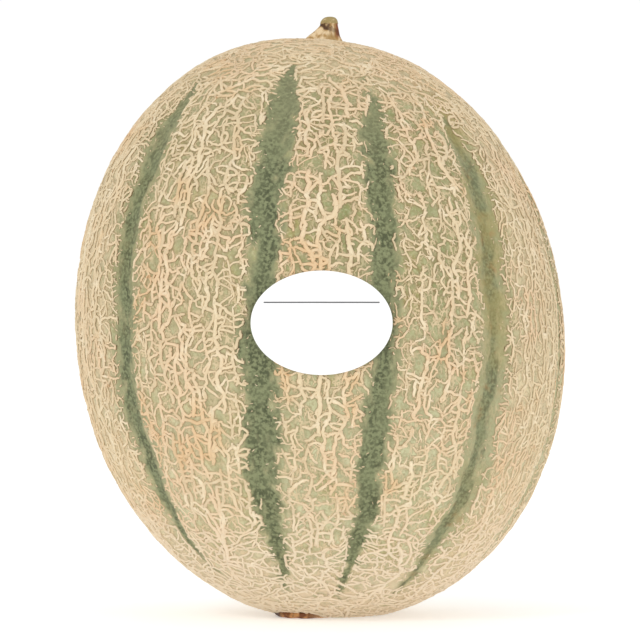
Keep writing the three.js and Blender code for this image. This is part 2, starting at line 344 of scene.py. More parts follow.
def grow(own, heading, cap, waver, pull=0.1, hit=0.6, parent=None, keep_off=0.0, home=None):
    """Steps over the skin for up to cap mm. Returns the points and whether the cord ended on another one.

    Each step turns it at random by the waver and draws it back to its heading by the pull. It ends within
    hit mm of another cord, is steered away from a groove closer than keep_off, and stays near a home angle.
    """
    points, gone, angle = [own], 0.0, 0.0
    while gone < cap:
        angle += waver * draw.gauss(0, 1) - pull * angle
        ahead = turned(heading, crossed(own, heading), angle)
        distance, half, _ = nearest_groove(*own)
        if keep_off is not None and half > 1:
            room = abs(distance) - half
            if room < -ENTRY:
                return points, False
            if room < keep_off:
                push = EDGE_PUSH * (keep_off - room) / max(keep_off, LEAST_KEEP_OFF)
                ahead = pushed(ahead, own, math.copysign(push, distance))
        if home is not None:
            offset = (math.atan2(own[0], -own[1]) - home + math.pi) % (2 * math.pi) - math.pi
            offset *= EQUATOR_RADIUS * math.hypot(own[0], own[1])
            ahead = pushed(ahead, own, max(-MOST_HOME_PULL, min(MOST_HOME_PULL, -HOME_PULL * offset)))
        radius = radius_of(*own)
        own = unit(tuple(a + b * STEP / radius for a, b in zip(own, ahead)))
        along = sum(a * b for a, b in zip(heading, own))
        heading = unit(tuple(a - along * b for a, b in zip(heading, own)))
        gone += STEP
        met = near_cord(tuple(v * radius for v in own), hit, parent if gone < LEAVING else None)
        if met and gone > STEP:
            points.append(cords[met[0]][0][met[1]])
            return points, True
        points.append(own)
    return points, False


def pushed(ahead, own, share):
    """A heading pushed towards the right, or the left when the share is negative."""
    return tuple(a + share * b for a, b in zip(ahead, north_east(own)[1]))


UNEVEN_WIDTH = (0.78, 1.22)
FREE_END = 0.68
FREE_END_GAIN = 0.32
FLARE_LENGTH = 1.1


def widths_along(count, half, start_free, end_free, taper=1.6, flare=0.2):
    """Half-widths along a cord: thin at a free end, a little wider where it joins another."""
    length = (count - 1) * STEP
    widths = []
    for index in range(count):
        width = half * draw.uniform(*UNEVEN_WIDTH)
        for free, apart in ((start_free, index * STEP), (end_free, length - index * STEP)):
            if free:
                width *= FREE_END + FREE_END_GAIN * ease(apart, 0, min(taper, 0.5 * length + 1e-6))
            else:
                width *= 1 + flare * (1 - ease(apart, 0, FLARE_LENGTH))
        widths.append(width)
    return widths


# %% [markdown]
# ### Trunks, rungs and twigs
# Each rib between two grooves has its own habit. The rib left of the front is close-netted with long
# trunks, the two right of it are more open with many loose ends, and the one at the right edge is the
# closest. The ribs behind lie between these.

# %% The ribs' habits
# spacing of the trunks in mm, share of loose ends, clear distance that a new cord fills, width, and tan tint
RIBS = [
    (3.1, 0.06, 1.2, 1.0, 0.3),
    (4.4, 0.28, 1.6, 1.0, 0.0),
    (4.4, 0.34, 1.6, 0.94, 0.0),
    (2.6, 0.12, 1.18, 0.8, 0.9),
    (3.4, 0.2, 1.45, 0.95, 0.5),
    (3.8, 0.25, 1.55, 1.0, 0.2),
    (4.1, 0.32, 1.65, 1.0, 0.0),
    (3.7, 0.2, 1.5, 1.0, 0.3),
    (3.4, 0.2, 1.5, 1.0, 0.1),
    (2.9, 0.08, 1.3, 0.9, 1.0),
]
print(len(RIBS), "ribs, with trunks", min(RIBS)[0], "to", max(RIBS)[0], "mm apart")


def rib_of(own):
    compass = math.atan2(own[0], -own[1])
    return min(range(len(GROOVES)), key=lambda i: (compass - GROOVES[i][0]) % (2 * math.pi))


def degrees_from_stem(own):
    return math.degrees(math.acos(max(-1.0, min(1.0, own[2]))))


# %% Trunks
TRUNK_MARGIN = 7.2
TRUNK_STARTS = (32, 46)  # degrees from the stem
TRUNK_ENDS = (130, 146)
TRUNK_CAPS = (12, 45)
EDGE_TRUNK_CAPS = (4, 15)
TRUNK_HALVES = (0.4, 0.66)
TRUNK_GAPS = (0.3, 3.5)
TRUNK_ASIDE = 0.9
TRUNK_CLEAR = 1.2


def grow_trunks(rib):
    """Long cords from end to end, in lines beside each other across a rib."""
    made = []
    first = GROOVES[rib][0]
    span = (GROOVES[(rib + 1) % len(GROOVES)][0] - first) % (2 * math.pi)
    inside = span * EQUATOR_RADIUS - 2 * TRUNK_MARGIN
    lines = max(2, round(inside / RIBS[rib][0]) + 1)
    for line in range(lines):
        share = line / (lines - 1)
        home = first + (TRUNK_MARGIN + share * inside) / EQUATOR_RADIUS
        from_stem = math.radians(draw.uniform(*TRUNK_STARTS))
        last = math.radians(draw.uniform(*TRUNK_ENDS))
        while from_stem < last:
            aside = draw.uniform(-TRUNK_ASIDE, TRUNK_ASIDE) / (EQUATOR_RADIUS * math.sin(from_stem))
            own = direction(from_stem, home + aside)
            if near_cord(spot_of(own), TRUNK_CLEAR):
                from_stem += 0.02
                continue
            middle = 0.15 < share < 0.85
            cap = draw.uniform(*TRUNK_CAPS) if middle else draw.uniform(*EDGE_TRUNK_CAPS)
            north, east = north_east(own)
            heading = turned(tuple(-v for v in north), east, draw.gauss(0, 0.15))
            points, joined = grow(own, heading, cap, 0.3, 0.24, 0.8, keep_off=TRUNK_CLEAR, home=home)
            if len(points) > 5:
                half = RIBS[rib][3] * draw.uniform(*TRUNK_HALVES) * (1 if middle else 0.75)
                widths = widths_along(len(points), half, True, not joined, 2.0)
                made.append(keep_cord(points, widths, "trunk"))
            from_stem += (STEP * len(points) + draw.uniform(*TRUNK_GAPS)) / LENGTHWAYS_RADIUS
    return made


# %% [markdown]
# ### Open ground and branches
# Near both ends no cord runs lengthways for long, so most of them begin somewhere in open ground and grow
# both ways. Everywhere else, cords leave the sides of others. Where the next cord is close, a branch is
# left out, which keeps the holes of the net open.

# %% Cords in open ground
CROWN_REACH = 40  # degrees from the stem within which the net is at its closest
CROWN_ROOM = 1.18
LOW_GROUND = (105, 130)  # degrees from the stem over which the net opens and thins
LOW_ROOM = 0.32
LOW_THINNING = 0.2


def scatter(tries, clear, zone, caps, halves, kind, lean, waver=0.34, pull=0.16):
    """New cords that begin in open ground and grow both ways."""
    made = []
    highest, lowest = (math.cos(math.radians(angle)) for angle in zone)
    for _ in range(tries):
        level = draw.uniform(lowest, highest)
        own = direction(math.acos(level), draw.uniform(-math.pi, math.pi))
        distance, half, _ = nearest_groove(*own)
        if half > 1 and abs(distance) < half + 0.5:
            continue
        rib = RIBS[rib_of(own)]
        from_stem = degrees_from_stem(own)
        low = ease(from_stem, *LOW_GROUND)
        room = CROWN_ROOM if from_stem < CROWN_REACH else rib[2] + LOW_ROOM * low
        if near_cord(spot_of(own), clear or room):
            continue
        north, east = north_east(own)
        heading = turned(north, east, lean(own))
        cap = draw.uniform(*caps) if draw.random() < 2 * rib[1] else 2 * caps[1]
        forth, end_joined = grow(own, heading, cap, waver, pull, keep_off=0.5)
        back, start_joined = grow(own, tuple(-v for v in heading), cap, waver, pull, keep_off=0.5)
        points = back[::-1] + forth[1:]
        if len(points) > 3:
            width = rib[3] * draw.uniform(*halves) * (1 - LOW_THINNING * low)
            widths = widths_along(len(points), width, not start_joined, not end_joined)
            made.append(keep_cord(points, widths, kind))
    return made


# %% Branches
BRANCH_ANGLES = (38, 84)
LOOK_AHEAD = 1.1
WIDEST_BRANCH = 0.92  # of the parent's half-width


def branch(parents, gap, least, loose_caps, cap, halves, kind, waver=0.34, hit=0.6, room=0.75):
    """Side cords at random places along the parents, where no other cord is close."""
    made = []
    for number in parents:
        points, widths, _ = cords[number]
        for side in (-1, 1):
            at = draw.uniform(0.4, gap)
            while at < STEP * (len(points) - 1):
                index = int(at / STEP)
                at += least + draw.expovariate(1 / (gap - least))
                own = points[index]
                tangent = unit(tuple(b - a for a, b in zip(points[max(index - 1, 0)], points[index + 1])))
                angle = math.radians(draw.uniform(*BRANCH_ANGLES))
                angle = math.pi - angle if draw.random() < 0.5 else angle
                heading = turned(tangent, crossed(own, tangent), side * angle)
                ahead = unit(tuple(a + b * LOOK_AHEAD / MEAN_RADIUS for a, b in zip(own, heading)))
                if near_cord(spot_of(ahead), room, number):
                    continue
                rib = RIBS[rib_of(own)]
                if kind == "twig" and draw.random() > 0.1 + 2.2 * rib[1]:
                    continue
                loose = draw.random() < (0.75 if kind == "twig" else rib[1])
                length = draw.uniform(*loose_caps) if loose else cap * draw.uniform(0.6, 1)
                new, joined = grow(own, heading, length, waver, 0.14, hit, parent=number, keep_off=0.1)
                if len(new) > 2:
                    half = min(rib[3] * draw.uniform(*halves), WIDEST_BRANCH * widths[index])
                    new_widths = widths_along(len(new), half, False, not joined, 1.4)
                    made.append(keep_cord(new, new_widths, kind))
    return made


# %% [markdown]
# ### The grooves' margins
# A groove's edge is ragged: fine cords reach into it like the teeth of a comb, and short specks of cork
# lie in the groove itself. Both follow the groove, so they are placed along it rather than scattered.

# %% Spurs and flecks beside the grooves
LEAST_GROOVE_HALF = 1.2
SPUR_GAP = 0.8
FLECKS = 90


def grow_spurs(number, side):
    """A comb of fine cords that begin inside a groove's edge and run away from it."""
    angle, _, start, end = GROOVES[number][:4]
    from_stem = start + 0.1
    while from_stem < end - 0.06:
        from_stem += (SPUR_GAP + draw.expovariate(1.3)) / LENGTHWAYS_RADIUS
        middle, half, _ = nearest_groove(*direction(from_stem, angle))
        if half < LEAST_GROOVE_HALF:
            continue
        around = EQUATOR_RADIUS * math.sin(from_stem)
        own = direction(from_stem, angle + (side * (half + draw.uniform(-1.3, 0.9)) - middle) / around)
        if near_cord(spot_of(own), 0.7):
            continue
        north, east = north_east(own)
        heading = turned(tuple(side * v for v in east), north, draw.gauss(0, 0.45))
        cap = draw.uniform(1, 6.5) if draw.random() < 0.8 else draw.uniform(0.5, 1.2)
        points, joined = grow(own, heading, cap, 0.42, 0.14, 0.5, keep_off=None)
        if len(points) > 1:
            half = draw.uniform(0.26, 0.42)
            keep_cord(points, widths_along(len(points), half, True, not joined, 0.8, 0.3), "twig")


def grow_flecks(number):
    """Specks of cork along a groove's margins."""
    angle, _, start, end = GROOVES[number][:4]
    for _ in range(FLECKS):
        from_stem = draw.uniform(start + 0.1, end - 0.05)
        middle, half, _ = nearest_groove(*direction(from_stem, angle))
        if half < LEAST_GROOVE_HALF:
            continue
        offset = draw.choice((-1, 1)) * half * draw.uniform(0.35, 1.25) - middle
        own = direction(from_stem, angle + offset / (EQUATOR_RADIUS * math.sin(from_stem)))
        if near_cord(spot_of(own), 0.5):
            continue
        north, east = north_east(own)
        heading = turned(east, north, draw.uniform(0, 6.3))
        points, _ = grow(own, heading, draw.uniform(0.3, 0.6), 0.2, keep_off=None)
        if len(points) > 1:
            keep_cord(points, widths_along(len(points), draw.uniform(0.16, 0.28), True, True, 0.6), "twig")


# %% [markdown]
# ### The whole net
# A cord in open ground needs a lean: the angle between it and the line to the stem. On the middle of a
# rib the cords run with the rib, beside a groove they slant, and near the ends they lie mostly across.

# %% Which way a cord in open ground runs
LOW_END = (132, 168)


def any_way(own):
    """No lean of its own, wherever it is."""
    return draw.uniform(0, 2 * math.pi)


def across_the_ends(own):
    """Mostly sideways near the stem and low down, and any way elsewhere."""
    from_stem = degrees_from_stem(own)
    if from_stem < CROWN_REACH or LOW_END[0] < from_stem < LOW_END[1]:
        return math.pi / 2 + draw.gauss(0, 0.45)
    return any_way(own)


def as_the_rib_runs(own):
    """Lengthways on the middle of a rib, slanting near a groove, and mostly across near the ends."""
    if not CROWN_REACH < degrees_from_stem(own) < LOW_END[0]:
        return across_the_ends(own)
    distance, half, _ = nearest_groove(*own)
    if half > 1 and abs(distance) < half + 4.5:
        return math.copysign(1.15, distance) + draw.gauss(0, 0.4)
    return draw.gauss(0, 0.5)


# %% Grow the whole net
CROWN_CORDS = 24
CROWN_START = 3.2  # degrees from the stem's middle


def grow_crown():
    """Cords that run out from the foot of the stem."""
    made = []
    for number in range(CROWN_CORDS):
        compass = 2 * math.pi * (number + draw.uniform(0, 0.7)) / CROWN_CORDS
        own = direction(math.radians(CROWN_START), compass)
        away = tuple(-v for v in north_east(own)[0])
        points, joined = grow(own, away, draw.uniform(3, 9), 0.26, 0.12, keep_off=None)
        if len(points) > 3:
            widths = widths_along(len(points), draw.uniform(0.36, 0.56), False, not joined)
            made.append(keep_cord(points, widths, "trunk"))
    return made


trunks = [number for rib in range(len(RIBS)) for number in grow_trunks(rib)]
trunks += grow_crown()
trunks += scatter(1100, 1.8, (5, 40), (3, 9), (0.34, 0.52), "trunk", across_the_ends)
trunks += scatter(1200, 1.8, (134, 165), (3, 11), (0.32, 0.5), "trunk", across_the_ends, 0.2, 0.14)
trunks += scatter(500, 1.5, (163, 180), (3, 8), (0.4, 0.6), "trunk", any_way)
rungs = branch(trunks, 2.8, 1.3, (0.8, 2.0), 7.0, (0.33, 0.52), "rung")
rungs += scatter(14000, None, (5, 172), (1.0, 3.6), (0.32, 0.5), "rung", as_the_rib_runs)
branch(rungs + trunks, 3.6, 1.2, (0.45, 1.1), 2.6, (0.25, 0.37), "twig", hit=0.5, room=0.6)
for number in range(len(GROOVES)):
    grow_spurs(number, -1)
    grow_spurs(number, 1)
    grow_flecks(number)

for kind in ("trunk", "rung", "twig"):
    lengths = [STEP * (len(points) - 1) for points, _, of_kind in cords if of_kind == kind]
    print(kind, len(lengths), "cords,", round(sum(lengths) / 1000, 1), "m")

# %% [markdown]
# ## From cords to meshes
# Cork cords are low welts, flat on top and sloping at the sides. Thousands of them have to stand square
# on a curved skin, which a beveled curve can't promise, so each cord is written as a strip: a ring of
# vertices at each of its points, as wide and as high as the cord is there, with its foot just below the
# rind, quads from ring to ring and a cap at both ends. Wide trunks get five vertices a ring, rungs four
# and the finest twigs three. Two values are kept on the vertices for the finish: how high up the cord a
# vertex is, because each cord's foot is painted brown as its shade, and a tone for the whole cord.

# %% Thin out the points of a cord
REST_CLEAR = 0.45  # cords stop where the skin comes this close to the surface the melon stands on
STEM_CLEAR = 4.8
STRAIGHT_ENOUGH = 0.07
LONGEST_STRETCH = {"trunk": 1.0, "rung": 1.2, "twig": 1.2}


def thinned(points, widths, longest):
    """Leaves out points where the cord runs nearly straight."""
    kept = [0]
    for index in range(1, len(points) - 1):
        run = STEP * (index - kept[-1])
        start, after = Vector(points[kept[-1]]), Vector(points[index + 1])
        chord = (after - start).normalized()
        offset = Vector(points[index]) - start
        bend = (offset - chord * offset.dot(chord)).length * MEAN_RADIUS
        if bend > STRAIGHT_ENOUGH or run > longest:
            kept.append(index)
    kept.append(len(points) - 1)
    return [points[i] for i in kept], [widths[i] for i in kept]


def clear_runs(cord):
    """The stretches of a cord that are clear of the resting spot and of the stem."""
    points, widths, kind = cord
    points, widths = thinned(points, widths, LONGEST_STRETCH[kind])
    own = np.array(points)
    places, normals = skin(own, skin_relief(own))
    clear = np.linalg.norm(places[:, :2] - stem_foot[:2], axis=1) > STEM_CLEAR
    clear = (clear | (own[:, 2] < 0)) & (places[:, 2] > REST_CLEAR)
    runs, start = [], None
    for index in range(len(points) + 1):
        if index < len(points) and clear[index]:
            start = index if start is None else start
        elif start is not None:
            if index - start > 1:
                runs.append((places[start:index], normals[start:index], np.array(widths[start:index])))
            start = None
    return runs


laid_runs = [(cord[2], run) for cord in cords for run in clear_runs(cord)]
print(len(laid_runs), "runs of cord with", sum(len(run[0]) for _, run in laid_runs), "points")

# %% Make one piece of net
# outlines across a cord: share of its half-width and of its height
OUTLINES = {
    "trunk": [(-1.42, -0.2), (-0.62, 0.9), (0, 0.86), (0.58, 0.92), (1.42, -0.2)],
    "rung": [(-1.45, -0.2), (-0.54, 0.9), (0.54, 0.95), (1.45, -0.2)],
    "twig": [(-1.3, -0.25), (0, 1), (1.3, -0.25)],
}
CORD_HEIGHT = 0.62
HALF_AT_FULL_HEIGHT = 0.48
LOWEST_CORK = 0.03
EARLIER_STEP = 0.98  # a little under 1, so that steps there and back don't cancel out


def deselect():
    """Every operator acts on what is selected, so nothing may be left so."""
    bpy.ops.object.select_all(action="DESELECT")


def strip_faces(first, rings, around):
    """Quads between the rings of a strip whose first vertex is numbered first, and its two caps."""
    corner = np.arange(around)
    beside = (corner + 1) % around
    start = first + around * np.arange(rings - 1)[:, None]
    after = start + around
    sides = np.stack([start + beside, start + corner, after + corner, after + beside], axis=-1)
    last = first + around * (rings - 1)
    return sides.reshape(-1, 4).tolist() + [(first + corner).tolist(), (last + corner[::-1]).tolist()]


def net_piece(name, kind, runs):
    """Closed strips of cork along the runs, set square on the skin."""
    outline = np.array(OUTLINES[kind])
    rings = [ring_places(outline, *run) for run in runs]
    faces, first = [], 0
    for ring in rings:
        faces += strip_faces(first, len(ring) // len(outline), len(outline))
        first += len(ring)
    points = np.concatenate(rings)
    points[:, 2] = np.maximum(points[:, 2], LOWEST_CORK)
    mesh = bpy.data.meshes.new(name)
    mesh.from_pydata((points * MM).tolist(), [], faces)
    crests = np.tile(np.clip(outline[:, 1], 0, 1), len(points) // len(outline))
    tones = np.concatenate([np.full(len(ring), draw.random()) for ring in rings])
    keep_values(mesh, crest=crests, tone=tones)
    piece = bpy.data.objects.new(name, mesh)
    bpy.context.scene.collection.objects.link(piece)
    return piece


def keep_values(mesh, **layers):
    """Keeps arrays of values on a mesh's vertices and makes its faces smooth."""
    for name, values in layers.items():
        mesh.attributes.new(name, "FLOAT", "POINT").data.foreach_set("value", np.array(values, float))
    mesh.polygons.foreach_set("use_smooth", np.ones(len(mesh.polygons), bool))
    mesh.update()


def ring_places(outline, places, normals, widths):
    """The rings of one strip, each across its cord and square on the skin."""
    steps = np.diff(places, axis=0)
    steps /= np.linalg.norm(steps, axis=1)[:, None] + 1e-9
    along = np.concatenate([steps, steps[-1:]]) + EARLIER_STEP * np.concatenate([steps[:1], steps])
    aside = np.cross(along, normals)
    aside /= np.linalg.norm(aside, axis=1)[:, None]
    heights = CORD_HEIGHT * np.tanh(widths / HALF_AT_FULL_HEIGHT)
    across = aside[:, None] * (widths[:, None] * outline[:, 0])[..., None]
    up = normals[:, None] * (heights[:, None] * outline[:, 1])[..., None]
    return (places[:, None] + across + up).reshape(-1, 3)


# %% The net's pieces
piles = {}
for kind, run in laid_runs:
    side = "front" if run[0][:, 1].mean() < 0 else "back"
    piles.setdefault((kind, side), []).append(run)
net_pieces = [net_piece(f"net_{kind}s_{side}", kind, runs) for (kind, side), runs in sorted(piles.items())]
for piece in net_pieces:
    print(piece.name, sum(len(face.vertices) - 2 for face in piece.data.polygons), "triangles")

# %% [markdown]
# ## The rind
# The rind under the net is one closed skin. A sphere from the add menu crowds its faces at two poles. A
# cube that is cut finely and blown up to a ball has no poles, and its faces are all about the same size.
# Its vertices are then moved out to the skin formula. The rind swells a little towards each cord, so it
# needs to know how near the cords are, and the same measure paints a brown shade on it beside them.

# %% A ball of even faces
RIND_CUTS = 126


def even_ball():
    """Own directions of a finely cut cube's vertices, blown up to a ball."""
    deselect()
    bpy.ops.mesh.primitive_cube_add(size=2)
    piece = bpy.context.object
    piece.name = "rind"
    bpy.ops.object.mode_set(mode="EDIT")
    bpy.ops.mesh.subdivide(number_cuts=RIND_CUTS)
    bpy.ops.object.mode_set(mode="OBJECT")
    corners = np.empty(len(piece.data.vertices) * 3)
    piece.data.vertices.foreach_get("co", corners)
    own = np.tan(corners.reshape(-1, 3) * np.pi / 4)
    return piece, own / np.linalg.norm(own, axis=1)[:, None]


rind, rind_own = even_ball()
print("rind", len(rind.data.vertices), "vertices")


# %% How near the cords are
def nearness(points, reach=1.1):
    """1 under a cord, falling to 0 at a distance from its edge."""
    places = np.concatenate([run[0] for _, run in laid_runs])
    widths = np.concatenate([run[2] for _, run in laid_runs])
    tree = kdtree.KDTree(len(places))
    for index, place in enumerate(places):
        tree.insert(place, index)
    tree.balance()
    near = np.empty(len(points))
    for index, point in enumerate(points):
        _, found, apart = tree.find(point)
        near[index] = apart - widths[found]
    return 1 - smooth(near, 0, reach)


# %% Shape the rind
SCAR_MIDDLE = (-4.2, -9.9)
SCAR_RADIUS = 9.4
SCAR_PIT = 1.9
UNDERSIDE = 20
SWELL = 0.05
CORE_FALL = 2.4  # the paler a groove, the narrower its dark core
COVER_BAND = (138, 162)  # degrees from the stem over which cork closes over the rind
SHOULDER_BAND = (24, 42)  # and over which the stem's tan shoulder ends
SHOULDER_TAN = 0.95


def rib_tint(own):
    """The tan tint of the rib that each direction is on."""
    compass = np.arctan2(own[:, 0], -own[:, 1])
    past = (compass[:, None] - np.array([groove[0] for groove in GROOVES])) % (2 * np.pi)
    return np.array([rib[4] for rib in RIBS])[past.argmin(axis=1)]


def shape_rind():
    """Moves the ball's vertices to the skin, with the flat spot to stand on and the scar's pit."""
    relief = skin_relief(rind_own)
    near = nearness(skin(rind_own, relief)[0])
    places, _ = skin(rind_own, relief + SWELL * near)
    from_scar = np.hypot(places[:, 0] - SCAR_MIDDLE[0], places[:, 1] - SCAR_MIDDLE[1])
    above_scar = SCAR_PIT * (1 - smooth(from_scar, 0.72 * SCAR_RADIUS, 0.95 * SCAR_RADIUS))
    places[:, 2] = np.maximum(places[:, 2], np.where(places[:, 2] < UNDERSIDE, above_scar, 0))
    rind.data.vertices.foreach_set("co", (places * MM).ravel())
    return near, places


# %% Values for the rind's colours
def groove_band(distance, width, strength):
    """1 in the middle of a groove, falling to 0 a little past its edge."""
    return np.clip(1 - distance / (1.4 * width * strength + 0.5), 0, 1) * np.clip(width / 2, 0, 1)


def mark_rind(near):
    """Keeps on the rind's vertices how deep in a groove they are, and how dark, warm, tan or corky."""
    distance, width, number = groove_field(rind_own)
    band = groove_band(distance, width, 1.0)
    dark = np.array([groove[4] for groove in GROOVES])[number]
    core = groove_band(distance, width, dark**CORE_FALL)
    warm = np.array([groove[5] for groove in GROOVES])[number] * (1 - smooth(distance, 2, 9))
    from_stem = np.arccos(np.clip(rind_own[:, 2], -1, 1))
    cover = smooth(from_stem, *map(math.radians, COVER_BAND))
    tan = rib_tint(rind_own) * smooth(distance, width, width + 6)
    tan = np.maximum(tan, SHOULDER_TAN * (1 - smooth(from_stem, *map(math.radians, SHOULDER_BAND))))
    keep_values(rind.data, near_net=near, groove=band, core=core, dark=dark, warm=warm, cover=cover, tan=tan)


cord_nearness, rind_places = shape_rind()
mark_rind(cord_nearness)
print("rind spans", rind_places.min(axis=0).round(1), rind_places.max(axis=0).round(1))

# %% [markdown]
# ## The stem stub
# The stub is what is left when a picker cuts the vine. It has five ribs where it flares into the fruit,
# is drawn in below the cut and ends in a paler cap. A turned shape would be too round for it, so it
# starts as a ring of vertices at the foot and is extruded upwards ring by ring, each ring pushed into its
# own outline.

# %% The stem stub
# height over the foot, half-width, shift to the right, and depth of the flutes
STEM_RINGS = [
    (-1.4, 7.3, -1.8, 0.08),
    (0.0, 6.8, -2.0, 0.1),
    (0.5, 6.3, -2.2, 0.11),
    (1.2, 5.6, -2.2, 0.12),
    (1.9, 5.0, -2.0, 0.13),
    (2.7, 4.4, -1.7, 0.13),
    (3.6, 3.75, -1.15, 0.13),
    (4.5, 3.2, -0.6, 0.12),
    (5.2, 2.85, -0.25, 0.1),
    (5.8, 2.6, 0.0, 0.08),
    (6.1, 2.55, 0.05, 0.05),
    (6.4, 2.65, 0.1, 0.04),
    (7.1, 2.5, 0.15, 0.03),
    (7.8, 2.1, 0.3, 0.03),
    (8.3, 1.5, 0.4, 0.02),
    (8.5, 0.8, 0.45, 0.0),
]
STEM_SIDES = 60


def stem_outline(ring):
    """One ring of the stub, with five ribs, eight weaker ones and fine fibres."""
    height, radius, right, flute = ring
    places = []
    for side in range(STEM_SIDES):
        turn = 2 * math.pi * side / STEM_SIDES
        wave = flute * math.cos(5 * turn + 0.12 * height) + 0.35 * flute * math.sin(8 * turn + 1.3)
        fibre = 0.012 * math.sin(23 * turn + 0.6 * height) + 0.01 * math.sin(31 * turn - height)
        reach = radius * (1 + wave + fibre)
        places.append((right + reach * math.cos(turn), reach * math.sin(turn), height))
    return np.array(places) + stem_foot


def move_selected(piece, places):
    """Puts the selected ring's vertices at places, in order."""
    mesh = bmesh.from_edit_mesh(piece.data)
    ring = [vertex for vertex in mesh.verts if vertex.select]
    for vertex, place in zip(ring, places):
        vertex.co = Vector(place) * MM
    bmesh.update_edit_mesh(piece.data)


def lofted(name, rings):
    """A closed piece through rings of places, lowest first."""
    deselect()
    bpy.ops.mesh.primitive_circle_add(vertices=len(rings[0]), fill_type="NGON")
    piece = bpy.context.object
    piece.name = name
    bpy.ops.object.mode_set(mode="EDIT")
    bpy.ops.mesh.select_all(action="SELECT")
    move_selected(piece, rings[0])
    for ring in rings[1:]:
        bpy.ops.mesh.extrude_region_move()
        move_selected(piece, ring)
    bpy.ops.mesh.select_all(action="SELECT")
    bpy.ops.mesh.normals_make_consistent(inside=False)
    bpy.ops.object.mode_set(mode="OBJECT")
    piece.data.polygons.foreach_set("use_smooth", np.ones(len(piece.data.polygons), bool))
    return piece


stem = lofted("stem", [stem_outline(ring) for ring in STEM_RINGS])
print("stem", len(stem.data.polygons), "faces")

# %% [markdown]
# ## The blossom scar
# Under the fruit is the corky plate where the flower sat. It is crumpled, shows a little in front and
# fills the pit that was left for it in the rind. It is lofted like the stem, from ragged rings, and noise
# crumples it.

# %% The blossom scar
SCAR_SIDES = 72


def scar_ring(height, share, crumple):
    """One ragged ring of the scar, at a share of its full radius."""
    places = []
    for side in range(SCAR_SIDES):
        turn = 2 * math.pi * side / SCAR_SIDES
        ragged = 1 + 0.05 * math.sin(3 * turn + 1) + 0.03 * math.sin(7 * turn)
        ragged += 0.03 * noise.noise(Vector((3 * math.cos(turn), 3 * math.sin(turn), height)))
        reach = SCAR_RADIUS * share * ragged
        rough = crumple * noise.noise(Vector((5 * math.cos(turn), 5 * math.sin(turn), 9 * share)))
        x = SCAR_MIDDLE[0] + reach * math.cos(turn)
        y = SCAR_MIDDLE[1] + reach * math.sin(turn)
        places.append((x, y, max(0.0, height + rough)))
    return np.array(places)


# height, share of the full radius and crumple in mm
SCAR_RINGS = [
    (0, 0.3, 0),
    (0, 0.6, 0),
    (0, 0.85, 0.3),
    (0.3, 0.95, 0.5),
    (1.0, 1.0, 0.5),
    (1.7, 0.97, 0.4),
    (2.1, 0.9, 0.2),
    (2.2, 0.7, 0.1),
]
scar = lofted("scar", [scar_ring(*ring) for ring in SCAR_RINGS])
print("scar", len(scar.data.polygons), "faces")

# %% [markdown]
# ## The label
# The label is stiff oval paper that bridges the net's crests. A disc from the add menu has all its
# triangles meeting in the middle, where a curved label would pucker. So a square grid is drawn into an
# oval, laid over the skin and given a paper's thickness. It carries one thin grey rule.

# %% The label
LABEL_HALF_WIDTH = 19.8
LABEL_HALF_HEIGHT = 14.6
LABEL_MIDDLE = (0.45, 87.4)
LABEL_LIFT = 0.78
LABEL_THICK = 0.16
LABEL_EDGE = 0.05
LABEL_RIPPLE = 0.07
LABEL_CUTS = 48


def skin_from_front(x, z):
    """Own directions of the skin seen from the front at places across and up."""
    level = z - EQUATOR_HEIGHT
    half = np.where(level > 0, STEM_HALF, BLOSSOM_HALF)
    right = x - LEAN * level
    radius = EQUATOR_RADIUS * (1 - (np.abs(level) / half) ** SHAPE_POWER) ** (1 / SHAPE_POWER)
    tipped = np.stack([right, -np.sqrt(radius**2 - right**2), level], axis=1)
    return tipped / np.linalg.norm(tipped, axis=1)[:, None] @ TIP


def lay_label():
    """A grid drawn into an oval and laid on the skin, with a flat map for its printing."""
    deselect()
    bpy.ops.mesh.primitive_grid_add(x_subdivisions=LABEL_CUTS, y_subdivisions=LABEL_CUTS, size=2)
    piece = bpy.context.object
    piece.name = "paper_label"
    corners = np.empty(len(piece.data.vertices) * 3)
    piece.data.vertices.foreach_get("co", corners)
    u, v = corners.reshape(-1, 3)[:, 0], corners.reshape(-1, 3)[:, 1]
    across = u * np.sqrt(1 - v**2 / 2)
    up = v * np.sqrt(1 - u**2 / 2)
    x = LABEL_MIDDLE[0] + LABEL_HALF_WIDTH * across
    z = LABEL_MIDDLE[1] + LABEL_HALF_HEIGHT * up
    own = skin_from_front(x, z)
    ripple = np.array([noise.noise(Vector((a * 5, b * 4, 2))) for a, b in zip(across, up)])
    places, _ = skin(own, LABEL_LIFT + LABEL_RIPPLE * ripple)
    piece.data.vertices.foreach_set("co", (places * MM).ravel())
    flat = piece.data.uv_layers.new(name="flat")
    loops = np.empty(len(piece.data.loops), int)
    piece.data.loops.foreach_get("vertex_index", loops)
    flat.data.foreach_set("uv", np.stack([across[loops], up[loops]], axis=1).ravel() * 0.5 + 0.5)
    return piece


def give_thickness(piece, thick, rounding):
    """Turns a sheet into a closed piece with a slightly rounded edge."""
    deselect()
    piece.select_set(True)
    bpy.context.view_layer.objects.active = piece
    shell = piece.modifiers.new("thickness", "SOLIDIFY")
    shell.thickness = thick * MM
    shell.offset = 1
    bpy.ops.object.modifier_apply(modifier=shell.name)
    edge = piece.modifiers.new("edge", "BEVEL")
    edge.width = rounding * MM
    edge.segments = 2
    bpy.ops.object.modifier_apply(modifier=edge.name)
    bpy.ops.object.shade_smooth_by_angle(angle=math.radians(35))


label = lay_label()
give_thickness(label, LABEL_THICK, LABEL_EDGE)
print("label", len(label.data.polygons), "faces")

# %% [markdown]
# ## Finishes
# Nothing on a melon is one colour, so each finish starts from a colour and mixes others over it through
# masks. Colours are given as they look on a screen, from 0 to 255, and turned into the light values that
# Blender mixes. Two effects are used by several finishes, so each is a node group: soft-edged patches,
# and a fine grain that roughens the surface.

